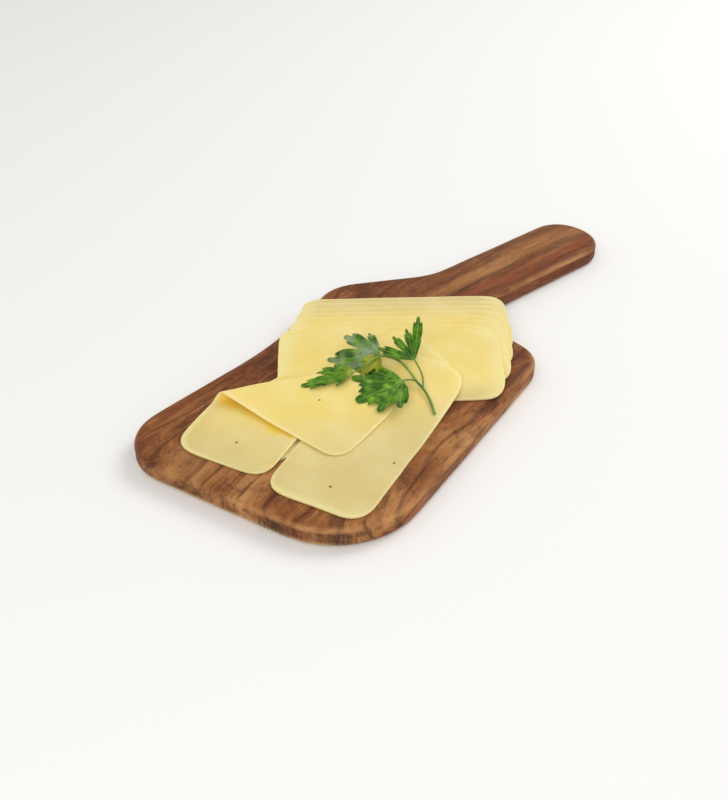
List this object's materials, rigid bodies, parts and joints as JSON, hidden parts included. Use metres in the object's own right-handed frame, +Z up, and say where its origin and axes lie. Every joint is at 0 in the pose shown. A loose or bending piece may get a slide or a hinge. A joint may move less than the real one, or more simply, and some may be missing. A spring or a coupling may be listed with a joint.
{
  "type": "sliced cheese serving board",
  "caption": "Wooden paddle board with a handle, carrying a fan of long cheese slices, loose and folded slices in front and a parsley sprig on top.",
  "frame": {"origin": "under the middle of the plan bounding box, on the flat underside of the board", "axes": "+Z up from the underside, +Y along the board's body towards its handle, +X to the right seen from the free end"},
  "size_m": [0.211, 0.4838, 0.0596],
  "materials": {
    "board_wood": "oiled, satin, strong reddish-brown grain",
    "cheese": "pale yellow, satin, slightly translucent",
    "parsley_stem": "fresh green, satin",
    "parsley_leaf": "dark green, veined, satin"
  },
  "bodies": {
    "root": {"paddle_board": "board_wood", "fan_slice_1": "cheese", "fan_slice_2": "cheese", "fan_slice_3": "cheese", "fan_slice_4": "cheese", "fan_slice_5": "cheese", "fan_slice_6": "cheese", "fan_slice_7": "cheese", "fan_slice_8": "cheese", "under_slice": "cheese", "front_slice": "cheese", "folded_slice": "cheese", "parsley_stem": "parsley_stem", "parsley_leaf_1": "parsley_leaf", "parsley_leaf_2": "parsley_leaf", "parsley_leaf_3": "parsley_leaf", "parsley_leaf_4": "parsley_leaf", "parsley_leaf_5": "parsley_leaf"}
  },
  "joints": []
}
